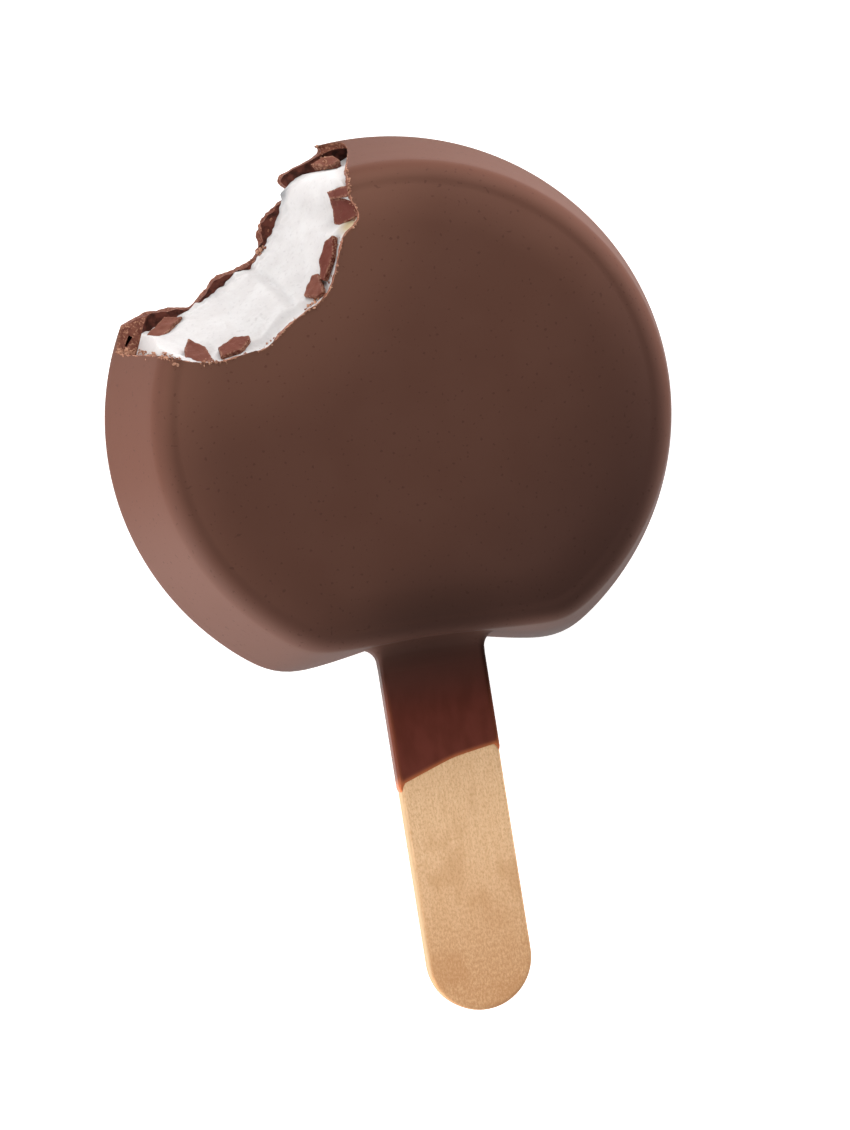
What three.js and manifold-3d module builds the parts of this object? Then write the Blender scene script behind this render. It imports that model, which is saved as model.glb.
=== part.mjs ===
// A round ice cream bar on a flat wooden stick, with one bite taken.
//
// Three solids: a thin chocolate coating that is open where it was bitten, the ice cream inside
// it, and the stick. The bar lies on its back. The face it rests on is z = 0, +Z goes through
// the thickness to the front face, and +Y runs along the stick, from its tip to the top of the
// disc. The disc's centre is over the origin. All sizes are in millimetres, angles in degrees.

import * as THREE from 'three';
import { mergeVertices } from 'three/addons/utils/BufferGeometryUtils.js';
import Module from 'manifold-3d';

const wasm = await Module();
wasm.setup();

// ---------------------------------------------------------------- driving dimensions

const DISC_RADIUS = 33.15; // at the front rim, across the stick
const DISC_TALLNESS = 0.966; // the disc is this much of that along the stick
const THICKNESS = 20;
const EDGE_RADIUS = 2.4; // rounding where a face meets the wall
const WALL_SPREAD = 4.75; // the wall is this much wider at the back than at the front
const FACE_CROWN = 0.7; // the middle of the front face stands this much above its rim
const CROWN_WIDTH = 7; // the crown rises over this distance from the rim

// The foot is where the disc is flattened and drawn in around the stick.
const FOOT_DISTANCE = 28.3;
const FOOT_HOLLOW_BACK = 4.3;
const FOOT_HOLLOW_FRONT = 0.2;
const FOOT_HOLLOW_SPREAD = 30;
const FOOT_ANGLE = 268.3; // it sits a little askew of the stick, which points along 270
const FOOT_CORNER = 50; // exponent of the blend from arc to foot, larger is sharper

const COATING = 1.4; // chocolate on the faces and the wall
const FIT_GAP = 0.3; // clearance between solids that touch in the real bar

const STICK_LENGTH = 94;
const STICK_WIDTH = 13.6;
const STICK_THICKNESS = 2.6;
const STICK_TIP = -77.2; // y of the bare end
const STICK_ASIDE = -1.26; // it sits a little off the disc's centre line
const STICK_EDGE = 0.4; // rounding of the stick's long edges

// Chocolate that ran down the stick, ending on a slanting line.
const FILM = 0.35; // its thickness
const STICK_GAP = 0.15; // clearance round the stick
const FILM_FLARE = 1.6; // radius where it turns into the foot
const FILM_START = -25; // inside the foot's coating
const FILM_END = [
  [-10, -47.5],
  [-0.6, -44.4],
  [8, -43.3],
];

// The bite: a cone-like scoop about an axis off the upper left, deeper at the front face.
const BITE_CENTRE = new THREE.Vector2(-27, 33.8);
const BITE_FRONT = {
  radius: 23.4,
  marks: [
    { at: -18, spread: 4.5, depth: 1.5 },
    { at: -42, spread: 9, depth: 1.2 },
    { at: -67, spread: 5, depth: 0.7 },
    { at: -103, spread: 14, depth: -1.9 },
  ],
};
const BITE_BACK = {
  radius: 15.1,
  marks: [
    { at: 4, spread: 8, depth: 9.4 },
    { at: -18, spread: 25, depth: 2.1 },
    { at: -101, spread: 18, depth: 2.7 },
  ],
};
// The coating broke in two steps: a low ledge at the back, mostly a little beyond the ice cream,
// and the wall above it, whose radius is given as it would be at the back face.
const COATING_BACK = {
  radius: 15.4,
  marks: [
    { at: 4, spread: 5, depth: 7.6 },
    { at: -10, spread: 9, depth: 2.4 },
    { at: -39, spread: 9, depth: 1.2 },
    { at: -60, spread: 8, depth: -1 },
    { at: -78, spread: 5, depth: 0.6 },
    { at: -111, spread: 9, depth: 2.4 },
  ],
};
const COATING_WALL = { radius: 21.4, marks: [{ at: 4, spread: 8, depth: 6 }] };
const LEDGE_LOW = 1.5; // the ledge slopes up to the wall between these heights
const LEDGE_HIGH = 3.5;
const BITE_RANGE = [-118, 10]; // the part of the scoop that meets the disc
const BITE_STEP = 2;
const LAYER_STEP = 2; // height between the scoop's rings
const ICE_CREAM_RELIEF = 0.22; // soft unevenness of the bitten ice cream
const ICE_CREAM_PITCH = 9;
const COATING_RAGGEDNESS = 0.25; // crisp unevenness of the broken coating
const COATING_PITCH = 3;

// Flat pieces of chocolate that lie in the bitten surface: where on the scoop (angle, height),
// how long and wide, how far turned, and how many corners.
const CHIPS = [
  { angle: -1, height: 6, length: 4.0, width: 1.8, turn: 80, corners: 4 },
  { angle: -11.5, height: 16.6, length: 2.4, width: 1.6, turn: 70, corners: 4 },
  { angle: -17, height: 16, length: 3.4, width: 2.6, turn: 10, corners: 4 },
  { angle: -32, height: 16.6, length: 5.6, width: 2.0, turn: 5, corners: 5 },
  { angle: -42, height: 16.4, length: 3.2, width: 2.6, turn: 0, corners: 4 },
  { angle: -74, height: 16.4, length: 4.4, width: 2.0, turn: 15, corners: 5 },
  { angle: -86, height: 15.5, length: 3.4, width: 3.0, turn: 40, corners: 3 },
  { angle: -91, height: 5, length: 4.6, width: 2.0, turn: 35, corners: 4 },
];
const CHIP_THICKNESS = 1.4;
const CHIP_PROUD = 0.35; // how far a chip stands out of the ice cream
const CHIP_SKEW = 0.18; // how irregular a chip's corners are

// The waves that make surfaces uneven: how fast each one runs along and up the scoop.
const WAVES = [
  { along: 2.1, up: 1.3, phase: 0 },
  { along: 3.7, up: -2.2, phase: 1 },
  { along: 5.3, up: 4.1, phase: 2 },
];

// ---------------------------------------------------------------- small helpers

const radians = THREE.MathUtils.degToRad;

/** Closed solid from rings of equal length, each ring joined to the next and both ends capped. */
function ringSolid(rings) {
  const count = rings[0].length;
  const positions = rings.flat().flatMap((p) => [p.x, p.y, p.z]);
  const index = [];
  for (let r = 0; r + 1 < rings.length; r += 1) {
    for (let i = 0; i < count; i += 1) {
      const a = r * count + i;
      const b = r * count + ((i + 1) % count);
      index.push(a, b, b + count, a, b + count, a + count);
    }
  }
  for (const end of [0, rings.length - 1]) {
    const hub = positions.length / 3;
    const middle = new THREE.Vector3();
    rings[end].forEach((p) => middle.addScaledVector(p, 1 / count));
    positions.push(middle.x, middle.y, middle.z);
    for (let i = 0; i < count; i += 1) {
      const a = end * count + i;
      const b = end * count + ((i + 1) % count);
      index.push(hub, ...(end === 0 ? [b, a] : [a, b]));
    }
  }
  const geometry = new THREE.BufferGeometry();
  geometry.setAttribute('position', new THREE.Float32BufferAttribute(positions, 3));
  geometry.setIndex(index);
  return solidFrom(geometry);
}

/** A closed three.js geometry as a manifold solid. */
function solidFrom(geometry) {
  const bare = geometry.clone();
  bare.deleteAttribute('normal');
  bare.deleteAttribute('uv');
  const merged = mergeVertices(bare, 1e-4);
  return new wasm.Manifold(
    new wasm.Mesh({
      numProp: 3,
      vertProperties: new Float32Array(merged.attributes.position.array),
      triVerts: new Uint32Array(merged.index.array),
    }),
  );
}

/** A manifold solid as a named three.js mesh. */
function meshFrom(solid, name, material) {
  const { vertProperties, triVerts } = solid.getMesh();
  const geometry = new THREE.BufferGeometry();
  geometry.setAttribute('position', new THREE.BufferAttribute(new Float32Array(vertProperties), 3));
  geometry.setIndex(new THREE.BufferAttribute(new Uint32Array(triVerts), 1));
  geometry.computeVertexNormals();
  const mesh = new THREE.Mesh(geometry, material);
  mesh.name = name;
  return mesh;
}

/** Bell-shaped dents and bulges added to a radius. */
function withMarks(angle, { radius, marks }) {
  return marks.reduce((r, m) => r + m.depth * Math.exp(-(((angle - m.at) / m.spread) ** 2)), radius);
}

/** Repeatable unevenness between -1 and 1: a few waves that cross each other. */
function unevenness(angle, height, pitch) {
  const sum = WAVES.reduce((total, { along, up, phase }) => {
    return total + Math.sin((along * angle + up * height) / pitch + phase);
  }, 0);
  return sum / WAVES.length;
}

// ---------------------------------------------------------------- the disc

/** Distance of the outline from the disc's centre: an oval cut off by the hollow foot. */
function outlineRadius(angle, height) {
  const oval = DISC_RADIUS / Math.hypot(Math.cos(radians(angle)), Math.sin(radians(angle)) / DISC_TALLNESS);
  const fromFoot = THREE.MathUtils.euclideanModulo(angle - FOOT_ANGLE + 180, 360) - 180;
  const facing = Math.max(Math.cos(radians(fromFoot)), 0);
  const hollow = THREE.MathUtils.lerp(FOOT_HOLLOW_BACK, FOOT_HOLLOW_FRONT, height / THICKNESS);
  const foot = FOOT_DISTANCE - hollow * Math.exp(-((fromFoot / FOOT_HOLLOW_SPREAD) ** 2));
  return (oval ** -FOOT_CORNER + (facing / foot) ** FOOT_CORNER) ** (-1 / FOOT_CORNER);
}

function outlineAt(angle, height) {
  const direction = new THREE.Vector2(Math.cos(radians(angle)), Math.sin(radians(angle)));
  return direction.multiplyScalar(outlineRadius(angle, height));
}

/** A point of the outline, moved outwards square to it. */
function outlinePoint(angle, outset, height) {
  const nearby = 0.5;
  const along = outlineAt(angle + nearby, height).sub(outlineAt(angle - nearby, height)).normalize();
  const point = outlineAt(angle, height).add(new THREE.Vector2(along.y, -along.x).multiplyScalar(outset));
  return new THREE.Vector3(point.x, point.y, height);
}

/** The disc, smaller by `shrink` all round: rounded edges, a flat back, a gently crowned front. */
function disc({ shrink, around, edgeSteps, crownSteps }) {
  const edge = EDGE_RADIUS - shrink / 2;
  const floor = shrink;
  const roof = THICKNESS - shrink;
  const profile = [];
  for (let i = 0; i <= edgeSteps; i += 1) {
    const turn = radians(-90 + (90 * i) / edgeSteps);
    profile.push({ inset: edge * (1 - Math.cos(turn)), height: floor + edge * (1 + Math.sin(turn)) });
  }
  for (let i = 0; i <= edgeSteps; i += 1) {
    const turn = radians((90 * i) / edgeSteps);
    profile.push({
      inset: edge * (1 - Math.cos(turn)),
      height: roof - FACE_CROWN - edge * (1 - Math.sin(turn)),
    });
  }
  for (let i = 1; i <= crownSteps; i += 1) {
    const way = i / crownSteps;
    const scale = 1 - (CROWN_WIDTH * way) / DISC_RADIUS;
    profile.push({ inset: edge, height: roof - FACE_CROWN * (1 - way) ** 2, scale });
  }
  const rings = profile.map(({ inset, height, scale = 1 }) => {
    const spread = WALL_SPREAD * (1 - height / THICKNESS);
    return Array.from({ length: around }, (_, i) => {
      const angle = (360 * i) / around;
      const point = outlinePoint(angle, spread - shrink - inset, height);
      return point.multiply(new THREE.Vector3(scale, scale, 1));
    });
  });
  return ringSolid(rings);
}

// ---------------------------------------------------------------- the stick

function stickSolid() {
  const radius = STICK_WIDTH / 2;
  const outline = new THREE.Shape();
  outline.absarc(0, STICK_TIP + radius, radius, Math.PI, 2 * Math.PI, false);
  outline.absarc(0, STICK_TIP + STICK_LENGTH - radius, radius, 0, Math.PI, false);
  outline.closePath();
  const geometry = new THREE.ExtrudeGeometry(outline, {
    depth: STICK_THICKNESS - 2 * STICK_EDGE,
    bevelThickness: STICK_EDGE,
    bevelSize: STICK_EDGE,
    bevelOffset: -STICK_EDGE,
    bevelSegments: 2,
    curveSegments: 14,
  });
  geometry.translate(STICK_ASIDE, 0, THICKNESS / 2 - STICK_THICKNESS / 2 + STICK_EDGE);
  return solidFrom(geometry);
}

/** A round-cornered section of the stick at y, larger by `grow` on every side. */
function stickSection(y, grow) {
  const cornerSteps = 3;
  const corner = STICK_EDGE + grow;
  const halfWidth = STICK_WIDTH / 2 + grow - corner;
  const halfHeight = STICK_THICKNESS / 2 + grow - corner;
  const points = [];
  for (const quarter of [0, 1, 2, 3]) {
    const sideX = quarter === 0 || quarter === 3 ? 1 : -1;
    const sideZ = quarter < 2 ? 1 : -1;
    for (let i = 0; i <= cornerSteps; i += 1) {
      const turn = radians(90 * (quarter + i / cornerSteps));
      points.push(
        new THREE.Vector3(
          STICK_ASIDE + sideX * halfWidth + corner * Math.cos(turn),
          y,
          THICKNESS / 2 + sideZ * halfHeight + corner * Math.sin(turn),
        ),
      );
    }
  }
  return points;
}

/** The stick's shape with clearance round it, to cut the slot it sits in. */
function stickSlot() {
  const from = STICK_TIP;
  const to = STICK_TIP + STICK_LENGTH + STICK_GAP;
  return ringSolid([from, to].map((y) => stickSection(y, STICK_GAP)).reverse());
}

/** Chocolate round the stick below the foot, flared into the disc and cut on a slant. */
function filmSolid() {
  const flareSteps = 4;
  const beside = THREE.MathUtils.radToDeg(Math.atan2(STICK_WIDTH / 2 + FILM_FLARE, FOOT_DISTANCE));
  const footY = outlinePoint(FOOT_ANGLE - beside, WALL_SPREAD / 2, THICKNESS / 2).y;
  const thickness = STICK_GAP + FILM;
  const rings = [stickSection(FILM_START, thickness + FILM_FLARE)];
  for (let i = 0; i <= flareSteps; i += 1) {
    const turn = radians((90 * i) / flareSteps);
    const flare = FILM_FLARE * (1 - Math.sin(turn));
    const drop = FILM_FLARE * (1 - Math.cos(turn));
    rings.push(stickSection(footY - drop, thickness + flare));
  }
  rings.push(stickSection(STICK_TIP, thickness));
  const below = new THREE.Shape();
  below.moveTo(FILM_END[0][0], STICK_TIP - 1);
  FILM_END.forEach(([x, y]) => below.lineTo(x, y));
  below.lineTo(FILM_END.at(-1)[0], STICK_TIP - 1);
  below.closePath();
  const cutter = new THREE.ExtrudeGeometry(below, { depth: THICKNESS, bevelEnabled: false });
  return ringSolid(rings).subtract(solidFrom(cutter));
}

// ---------------------------------------------------------------- the bite

/** Radius of the bitten wall about the scoop's axis: the ice cream's, or another's by its back. */
function biteRadius(angle, height, back = BITE_BACK) {
  return THREE.MathUtils.lerp(withMarks(angle, back), withMarks(angle, BITE_FRONT), height / THICKNESS);
}

function bitePoint(angle, height, radius) {
  return new THREE.Vector3(
    BITE_CENTRE.x + radius * Math.cos(radians(angle)),
    BITE_CENTRE.y + radius * Math.sin(radians(angle)),
    height,
  );
}

/** The scoop as a solid that is taken away. `radiusAt(angle, height)` gives its wall. */
function scoop(radiusAt) {
  const coarseStep = 24;
  const angles = [];
  for (let a = BITE_RANGE[0]; a <= BITE_RANGE[1]; a += BITE_STEP) {
    angles.push(a);
  }
  for (let a = BITE_RANGE[1] + coarseStep; a < BITE_RANGE[0] + 360; a += coarseStep) {
    angles.push(a);
  }
  const heights = [-LAYER_STEP];
  for (let h = LEDGE_LOW; h <= THICKNESS + LAYER_STEP; h += LAYER_STEP) {
    heights.push(h);
  }
  const inRange = (a) => THREE.MathUtils.clamp(a, ...BITE_RANGE);
  return ringSolid(heights.map((h) => angles.map((a) => bitePoint(a, h, radiusAt(inRange(a), h)))));
}

/** The ice cream's bitten surface is softly uneven. */
function iceCreamScoop() {
  return scoop((angle, height) => {
    const relief = ICE_CREAM_RELIEF * unevenness(angle, height, ICE_CREAM_PITCH);
    return biteRadius(angle, height) + relief;
  });
}

/** The coating's edge is crisp and ragged, with a ledge at the back. */
function coatingScoop() {
  return scoop((angle, height) => {
    const raggedness = COATING_RAGGEDNESS * unevenness(angle, height, COATING_PITCH);
    const ledge = withMarks(angle, COATING_BACK);
    const wall = biteRadius(angle, height, COATING_WALL);
    const aboveLedge = THREE.MathUtils.smoothstep(height, LEDGE_LOW, LEDGE_HIGH);
    return THREE.MathUtils.lerp(ledge, wall, aboveLedge) + raggedness;
  });
}

/** One flat chip, set into the bitten surface. */
function chipSolid({ angle, height, length, width, turn, corners }) {
  const outline = new THREE.Shape();
  for (let i = 0; i < corners; i += 1) {
    const a = radians((360 * (i + 0.5)) / corners);
    const skew = 1 + CHIP_SKEW * Math.sin(angle + 2 * i);
    const x = (width / Math.SQRT2) * Math.cos(a) * skew;
    const y = (length / Math.SQRT2) * Math.sin(a) * skew;
    outline[i === 0 ? 'moveTo' : 'lineTo'](x, y);
  }
  outline.closePath();
  const geometry = new THREE.ExtrudeGeometry(outline, { depth: CHIP_THICKNESS, bevelEnabled: false });
  geometry.translate(0, 0, CHIP_PROUD - CHIP_THICKNESS);
  geometry.rotateZ(radians(turn));
  const at = (a, h) => bitePoint(a, h, biteRadius(a, h));
  const along = at(angle + 1, height).sub(at(angle - 1, height)).normalize();
  const up = at(angle, height + 1).sub(at(angle, height - 1)).normalize();
  const out = new THREE.Vector3().crossVectors(up, along).normalize();
  const across = new THREE.Vector3().crossVectors(along, out).normalize();
  geometry.applyMatrix4(new THREE.Matrix4().makeBasis(across, along, out).setPosition(at(angle, height)));
  return solidFrom(geometry);
}

// ---------------------------------------------------------------- the three pieces

function coatingSolid() {
  const outside = disc({ shrink: 0, around: 120, edgeSteps: 4, crownSteps: 3 });
  const inside = disc({ shrink: COATING, around: 90, edgeSteps: 2, crownSteps: 1 });
  return outside.add(filmSolid()).subtract(inside).subtract(stickSlot()).subtract(coatingScoop());
}

function iceCreamSolid() {
  const filling = disc({ shrink: COATING + FIT_GAP, around: 90, edgeSteps: 2, crownSteps: 1 });
  const bitten = filling.subtract(iceCreamScoop());
  const chips = CHIPS.map(chipSolid).reduce((all, chip) => all.add(chip));
  return bitten.add(chips.intersect(filling)).subtract(stickSlot());
}

const chocolate = new THREE.MeshStandardMaterial({ color: 0x573c34, roughness: 0.42, metalness: 0 });
const iceCream = new THREE.MeshStandardMaterial({ color: 0xf6f3f1, roughness: 0.65, metalness: 0 });
const wood = new THREE.MeshStandardMaterial({ color: 0xdab07e, roughness: 0.75, metalness: 0 });

const bar = new THREE.Group();
bar.add(meshFrom(coatingSolid(), 'chocolate_coating', chocolate));
bar.add(meshFrom(iceCreamSolid(), 'ice_cream', iceCream));
bar.add(meshFrom(stickSolid(), 'stick', wood));

export default bar;
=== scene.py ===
# %% [markdown]
# A round ice cream bar on a flat wooden stick, with one bite taken. The real bar is moulded:
# ice cream is frozen round the stick, and the whole is dipped in chocolate that sets to a thin
# shell and runs a little way down the stick. We follow that order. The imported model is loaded
# first, as a fixed frame: everything we model lands on its solids, in metres, with z = 0 as the
# face that the bar lies on, +Z through its thickness and +Y from the stick's tip to its top.

import math
import random

import bpy
from mathutils import Matrix, Vector, kdtree, noise


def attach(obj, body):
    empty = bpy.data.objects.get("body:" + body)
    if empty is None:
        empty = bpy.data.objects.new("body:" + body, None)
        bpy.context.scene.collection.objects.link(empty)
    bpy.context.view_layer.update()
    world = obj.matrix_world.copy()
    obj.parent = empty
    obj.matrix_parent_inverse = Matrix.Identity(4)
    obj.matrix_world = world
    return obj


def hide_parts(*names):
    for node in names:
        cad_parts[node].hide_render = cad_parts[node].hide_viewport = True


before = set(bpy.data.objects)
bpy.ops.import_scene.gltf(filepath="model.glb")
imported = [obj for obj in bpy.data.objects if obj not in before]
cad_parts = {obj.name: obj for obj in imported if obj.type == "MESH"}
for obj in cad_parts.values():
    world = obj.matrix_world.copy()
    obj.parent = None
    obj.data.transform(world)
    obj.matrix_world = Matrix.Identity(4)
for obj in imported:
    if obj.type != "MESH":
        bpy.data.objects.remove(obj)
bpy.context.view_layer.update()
MM = 0.001
print("solids:", sorted(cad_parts))

# %% [markdown]
# The camera comes first, so that each piece can be judged as it is made. The bar is seen almost
# from above, by a long lens that hardly narrows what is further away. The view leans a little
# to the bar's left, which shows the left wall, and the whole picture is turned a few degrees. We
# multiply these few turns into one rotation, which is easier to adjust than a list of angles.

# %% Camera
CAMERA_LEAN = 0.190  # radians, towards the bar's left
CAMERA_NOD = 0.042
CAMERA_ROLL = 0.130
CAMERA_TURN = math.radians(1.62)
CAMERA_DISTANCE = 960 * MM
CAMERA_ASIDE = (4.88 * MM, -19.30 * MM)  # right and up, seen by the camera
PICTURE_LONG_SIDE = 1130  # pixels
LENS_IN_PIXELS = 7394
SENSOR = 36  # millimetres, as camera makers give it

turns = (
    Matrix.Rotation(CAMERA_ROLL, 3, "Z")
    @ Matrix.Rotation(CAMERA_NOD, 3, "X")
    @ Matrix.Rotation(CAMERA_LEAN, 3, "Y")
    @ Matrix.Rotation(CAMERA_TURN, 3, "Z")
)
right, up, back = turns.row

camera_data = bpy.data.cameras.new("camera")
camera_data.sensor_width = SENSOR
camera_data.lens = LENS_IN_PIXELS * SENSOR / PICTURE_LONG_SIDE
camera_data.clip_end = 10
camera = bpy.data.objects.new("camera", camera_data)
camera.location = CAMERA_ASIDE[0] * right + CAMERA_ASIDE[1] * up + CAMERA_DISTANCE * back
camera.rotation_mode = "QUATERNION"
camera.rotation_quaternion = turns.transposed().to_quaternion()
bpy.context.scene.collection.objects.link(camera)
bpy.context.scene.camera = camera
print("camera at", [round(c / MM) for c in camera.location], "mm, lens", round(camera_data.lens))

# %% [markdown]
# Most pieces of this bar start in the same way: a flat ring is drawn and pulled up in steps, and
# each step makes the ring wider or narrower. By hand that is E, S, E, S in edit mode. The helper
# below repeats it for a list of radii and heights and gives a closed body of clean quads.

# %% Helpers for modelling


def deselect():
    """Back in object mode with nothing selected, so that an operator acts on its piece alone."""
    if bpy.context.mode != "OBJECT":
        bpy.ops.object.mode_set(mode="OBJECT")
    bpy.ops.object.select_all(action="DESELECT")


def choose(piece):
    """Makes a piece the only selected and the active one."""
    deselect()
    piece.select_set(True)
    bpy.context.view_layer.objects.active = piece


def stacked_rings(name, columns, rings):
    """A closed body from rings (radius, height), each pulled up from the one before it."""
    deselect()
    radius, height = rings[0]
    bpy.ops.mesh.primitive_circle_add(
        vertices=columns, radius=radius, fill_type="NGON", location=(0, 0, height)
    )
    body = bpy.context.object
    body.name = body.data.name = name
    bpy.ops.object.transform_apply(location=True)
    bpy.ops.object.mode_set(mode="EDIT")
    bpy.ops.mesh.select_all(action="SELECT")
    for next_radius, next_height in rings[1:]:
        bpy.ops.mesh.extrude_region_move(
            TRANSFORM_OT_translate={"value": (0, 0, next_height - height)}
        )
        ratio = next_radius / radius
        bpy.ops.transform.resize(
            value=(ratio, ratio, 1), center_override=(0, 0, next_height)
        )
        radius, height = next_radius, next_height
    recalculate_normals()
    bpy.ops.object.mode_set(mode="OBJECT")
    return body


def recalculate_normals():
    """In edit mode: turns all faces outwards."""
    bpy.ops.mesh.select_all(action="SELECT")
    bpy.ops.mesh.normals_make_consistent(inside=False)


def shape(piece, place):
    """Moves each vertex to place(position), as a hand would with proportional editing."""
    for vertex in piece.data.vertices:
        vertex.co = place(vertex.co)
    piece.data.update()


def face_out(piece):
    """Turns all faces of a piece outwards."""
    choose(piece)
    bpy.ops.object.mode_set(mode="EDIT")
    recalculate_normals()
    bpy.ops.object.mode_set(mode="OBJECT")


def boolean(piece, tool, operation):
    """Joins a tool to a piece or cuts it away; new faces keep the tool's material."""
    choose(piece)
    step = piece.modifiers.new(operation, "BOOLEAN")
    step.operation = operation
    step.solver = "EXACT"
    step.material_mode = "TRANSFER"
    step.object = tool
    bpy.ops.object.modifier_apply(modifier=step.name)


def discard(*tools):
    """Removes tools that have done their work."""
    for tool in tools:
        bpy.data.objects.remove(tool)


def smooth(piece, angle):
    """Smooth shading, with edges sharper than the angle (in degrees) left crisp."""
    choose(piece)
    bpy.ops.object.shade_smooth_by_angle(angle=math.radians(angle))


def steps(first, last, count):
    """Evenly spaced numbers from first to last, both included."""
    return [first + (last - first) * i / count for i in range(count + 1)]


def lerp(a, b, way):
    """The value a share of the way from a to b."""
    return a + (b - a) * way


def smoothstep(low, high, value):
    """0 below low and 1 above high, with a soft change between."""
    way = min(max((value - low) / (high - low), 0), 1)
    return way * way * (3 - 2 * way)


# %% [markdown]
# A finish in Blender is a small graph of nodes. The same three things come up again and again:
# a noise at some size, a ramp that turns it into a mask, and a mix of two colours by that mask.
# These helpers add them with one line each. All patterns are placed by Object coordinates, so
# they lie still on the bar from any side.

# %% Helpers for materials


def srgb(red, green, blue):
    """A colour as screens give it (0 to 255), as the linear values that Blender computes with."""
    def linear(value):
        value /= 255
        return value / 12.92 if value <= 0.04045 else ((value + 0.055) / 1.055) ** 2.4

    return (linear(red), linear(green), linear(blue), 1)


class Finish:
    """A material, with short ways to add the nodes that this bar needs."""

    def __init__(self, name, roughness, specular):
        self.material = bpy.data.materials.new(name)
        self.material.use_nodes = True
        self.tree = self.material.node_tree
        self.shader = self.tree.nodes["Principled BSDF"]
        self.shader.inputs["Roughness"].default_value = roughness
        self.shader.inputs["Specular IOR Level"].default_value = specular
        self.place = self.tree.nodes.new("ShaderNodeTexCoord").outputs["Object"]

    def link(self, source, target):
        """Joins one node's output to another's input."""
        self.tree.links.new(source, target)
        return source

    def add(self, kind, **settings):
        """A new node with its settings."""
        node = self.tree.nodes.new(kind)
        for key, value in settings.items():
            setattr(node, key, value)
        return node

    def stretched(self, scale):
        """The object's own coordinates, stretched along its axes."""
        mapping = self.add("ShaderNodeMapping")
        mapping.inputs["Scale"].default_value = scale
        self.link(self.place, mapping.inputs["Vector"])
        return mapping.outputs["Vector"]

    def noise(self, size, detail=3, place=None, rough=0.5):
        """A cloudy pattern with clouds about as large as size."""
        node = self.add("ShaderNodeTexNoise")
        node.inputs["Scale"].default_value = 1 / size
        node.inputs["Detail"].default_value = detail
        node.inputs["Roughness"].default_value = rough
        self.link(place or self.place, node.inputs["Vector"])
        return node.outputs["Fac"]

    def mask(self, value, low, high, start=0, end=1):
        """Start below low and end above high, with a soft change between."""
        node = self.add("ShaderNodeMapRange", interpolation_type="SMOOTHSTEP", clamp=True)
        node.inputs["From Min"].default_value = low
        node.inputs["From Max"].default_value = high
        node.inputs["To Min"].default_value = start
        node.inputs["To Max"].default_value = end
        self.link(value, node.inputs["Value"])
        return node.outputs["Result"]

    def mix(self, by, first, second):
        """Two colours, each a fixed one or another node's, mixed by a mask."""
        node = self.add("ShaderNodeMix", data_type="RGBA")
        self.link(by, node.inputs["Factor"])
        for socket, colour in ((node.inputs[6], first), (node.inputs[7], second)):
            if isinstance(colour, bpy.types.NodeSocket):
                self.link(colour, socket)
            else:
                socket.default_value = colour
        return node.outputs[2]

    def math(self, operation, *values):
        """One calculation, of fixed numbers or other nodes' values."""
        node = self.add("ShaderNodeMath", operation=operation)
        for socket, value in zip(node.inputs, values):
            if isinstance(value, bpy.types.NodeSocket):
                self.link(value, socket)
            else:
                socket.default_value = value
        return node.outputs[0]

    def axis(self, name):
        """One of the coordinates X, Y and Z, in metres."""
        node = self.add("ShaderNodeSeparateXYZ")
        self.link(self.place, node.inputs[0])
        return node.outputs[name]

    def attribute(self, name):
        """A number stored with each vertex."""
        return self.add("ShaderNodeAttribute", attribute_name=name).outputs["Fac"]

    def near(self, point, reach, full=0):
        """1 at a point of the bar, up to the distance full, falling to 0 at the distance reach."""
        gap = self.add("ShaderNodeVectorMath", operation="DISTANCE")
        self.link(self.place, gap.inputs[0])
        gap.inputs[1].default_value = point
        return self.mask(gap.outputs["Value"], full, reach, start=1, end=0)

    def colour(self, value):
        """The finish's own colour, fixed or from a node."""
        socket = self.shader.inputs["Base Color"]
        if isinstance(value, bpy.types.NodeSocket):
            self.link(value, socket)
        else:
            socket.default_value = value

    def rough(self, value):
        """A roughness that changes over the piece."""
        self.link(value, self.shader.inputs["Roughness"])

    def bump(self, *layers):
        """Stacks layers (height pattern, height in metres) into one bumpy surface."""
        normal = None
        for pattern, height in layers:
            node = self.add("ShaderNodeBump")
            node.inputs["Distance"].default_value = height
            self.link(pattern, node.inputs["Height"])
            if normal:
                self.link(normal, node.inputs["Normal"])
            normal = node.outputs["Normal"]
        self.link(normal, self.shader.inputs["Normal"])


# %% [markdown]
# The chocolate is one mix all over the bar, but it looks different where it is thick, thin or
# broken. Over the disc it is matt and nearly even, with light and shade painted on it: its wall
# has a paler, greyer painted sheen low down, and its face has a painted highlight round the bite
# and painted shade at the foot. On the stick it is a thin film: the wood glows through it and
# turns it redder, it shines more, and it is darkest just under the foot, where it is thick and
# its narrow sides carry painted shade. Separate materials would leave hard lines between them.
# So we tell wall, face and film apart by where a point lies, and one material covers all three,
# with changes as soft as on the real bar. The broken and the inner faces get materials of their
# own, and the inner one is darkened by painted shade.

# %% Chocolate
FOOT_BOTTOM, FILM_TOP = -29 * MM, -33 * MM  # y where the foot changes to the film
MATT, GLOSSY = 0.55, 0.25
# The face's painted highlight centres on the bite's middle, and painted shade falls off away from it.
PAINTED_LIGHT_CENTRE = (-27 * MM, 33.8 * MM, 20 * MM)  # the bite's middle: the face is palest near it
# The foot's painted shade is darkest here.
FOOT_SHADE_SPOT = (-1.3 * MM, -30 * MM, 16 * MM)  # where the face turns down to the foot: darkest


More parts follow.
